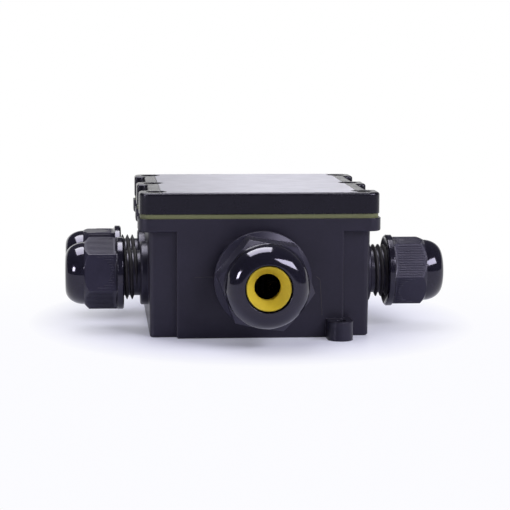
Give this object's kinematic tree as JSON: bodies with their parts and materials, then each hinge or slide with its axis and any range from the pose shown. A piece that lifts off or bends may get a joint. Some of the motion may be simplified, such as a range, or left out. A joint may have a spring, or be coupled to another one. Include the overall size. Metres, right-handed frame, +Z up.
{
  "type": "waterproof junction box",
  "caption": "Sealed electrical junction box with a screwed lid, a rim gasket, cable glands and a terminal strip.",
  "frame": {"origin": "centre of the case's flat underside, midway between the rim's sides and its two ends", "axes": "+Z up through the lid, +X to the side with one gland, -Y towards the large front gland"},
  "size_m": [0.1481, 0.1367, 0.0553],
  "materials": {
    "case_plastic": "satin black",
    "gland_plastic": "gloss black",
    "gasket_rubber": "olive rubber",
    "seal_rubber": "yellow rubber",
    "label_metal": "bare satin",
    "screw_steel": "bright",
    "brass": "bright",
    "terminal_plastic": "natural",
    "washer_rubber": "black rubber"
  },
  "bodies": {
    "case": {"housing": "case_plastic", "gasket": "gasket_rubber", "screw_inserts": "brass", "terminal_base": "terminal_plastic", "terminal_sleeves": "brass", "terminal_screws": "screw_steel", "terminal_mount_screws": "screw_steel"},
    "cover": {"lid": "case_plastic", "label_plate": "label_metal", "lid_screws": "screw_steel", "screw_washers": "washer_rubber"},
    "front_clamp": {"front_cage": "gland_plastic", "front_seal": "seal_rubber"},
    "front_nut": {"front_nut": "gland_plastic"},
    "left_front_clamp": {"left_front_cage": "gland_plastic", "left_front_seal": "seal_rubber"},
    "left_front_nut": {"left_front_nut": "gland_plastic"},
    "left_rear_clamp": {"left_rear_cage": "gland_plastic", "left_rear_seal": "seal_rubber"},
    "left_rear_nut": {"left_rear_nut": "gland_plastic"},
    "right_front_clamp": {"right_front_cage": "gland_plastic", "right_front_seal": "seal_rubber"},
    "right_front_nut": {"right_front_nut": "gland_plastic"}
  },
  "joints": [
    {"name": "lid_lift", "type": "slide", "parent": "case", "child": "cover", "axis": [0, 0, 1], "range_m": [0, 0.05]},
    {"name": "front_clamp_slide", "type": "slide", "parent": "case", "child": "front_clamp", "axis": [0, -1, 0], "range_m": [-0.00212, 0.0114]},
    {"name": "front_nut_turn", "type": "hinge", "parent": "front_clamp", "child": "front_nut", "pos_m": [0, -0.06235, 0.0236], "axis": [0, -1, 0], "range_deg": [-380.6, 2049.4]},
    {"name": "left_front_clamp_slide", "type": "slide", "parent": "case", "child": "left_front_clamp", "axis": [-1, 0, 0], "range_m": [-0.00239, 0.00713]},
    {"name": "left_front_nut_turn", "type": "hinge", "parent": "left_front_clamp", "child": "left_front_nut", "pos_m": [-0.0569, -0.021, 0.02205], "axis": [-1, 0, 0], "range_deg": [-428, 1282]},
    {"name": "left_rear_clamp_slide", "type": "slide", "parent": "case", "child": "left_rear_clamp", "axis": [-1, 0, 0], "range_m": [-0.00284, 0.00668]},
    {"name": "left_rear_nut_turn", "type": "hinge", "parent": "left_rear_clamp", "child": "left_rear_nut", "pos_m": [-0.0569, 0.021, 0.02205], "axis": [-1, 0, 0], "range_deg": [-509, 1201]},
    {"name": "right_front_clamp_slide", "type": "slide", "parent": "case", "child": "right_front_clamp", "axis": [1, 0, 0], "range_m": [-0.00254, 0.00698]},
    {"name": "right_front_nut_turn", "type": "hinge", "parent": "right_front_clamp", "child": "right_front_nut", "pos_m": [0.0569, -0.018, 0.02205], "axis": [1, 0, 0], "range_deg": [-455, 1255]}
  ],
  "couplings": [
    {"joint": "front_clamp_slide", "follows": "front_nut_turn", "m_per_rad": 0.00031831},
    {"joint": "left_front_clamp_slide", "follows": "left_front_nut_turn", "m_per_rad": 0.00031831},
    {"joint": "left_rear_clamp_slide", "follows": "left_rear_nut_turn", "m_per_rad": 0.00031831},
    {"joint": "right_front_clamp_slide", "follows": "right_front_nut_turn", "m_per_rad": 0.00031831}
  ]
}
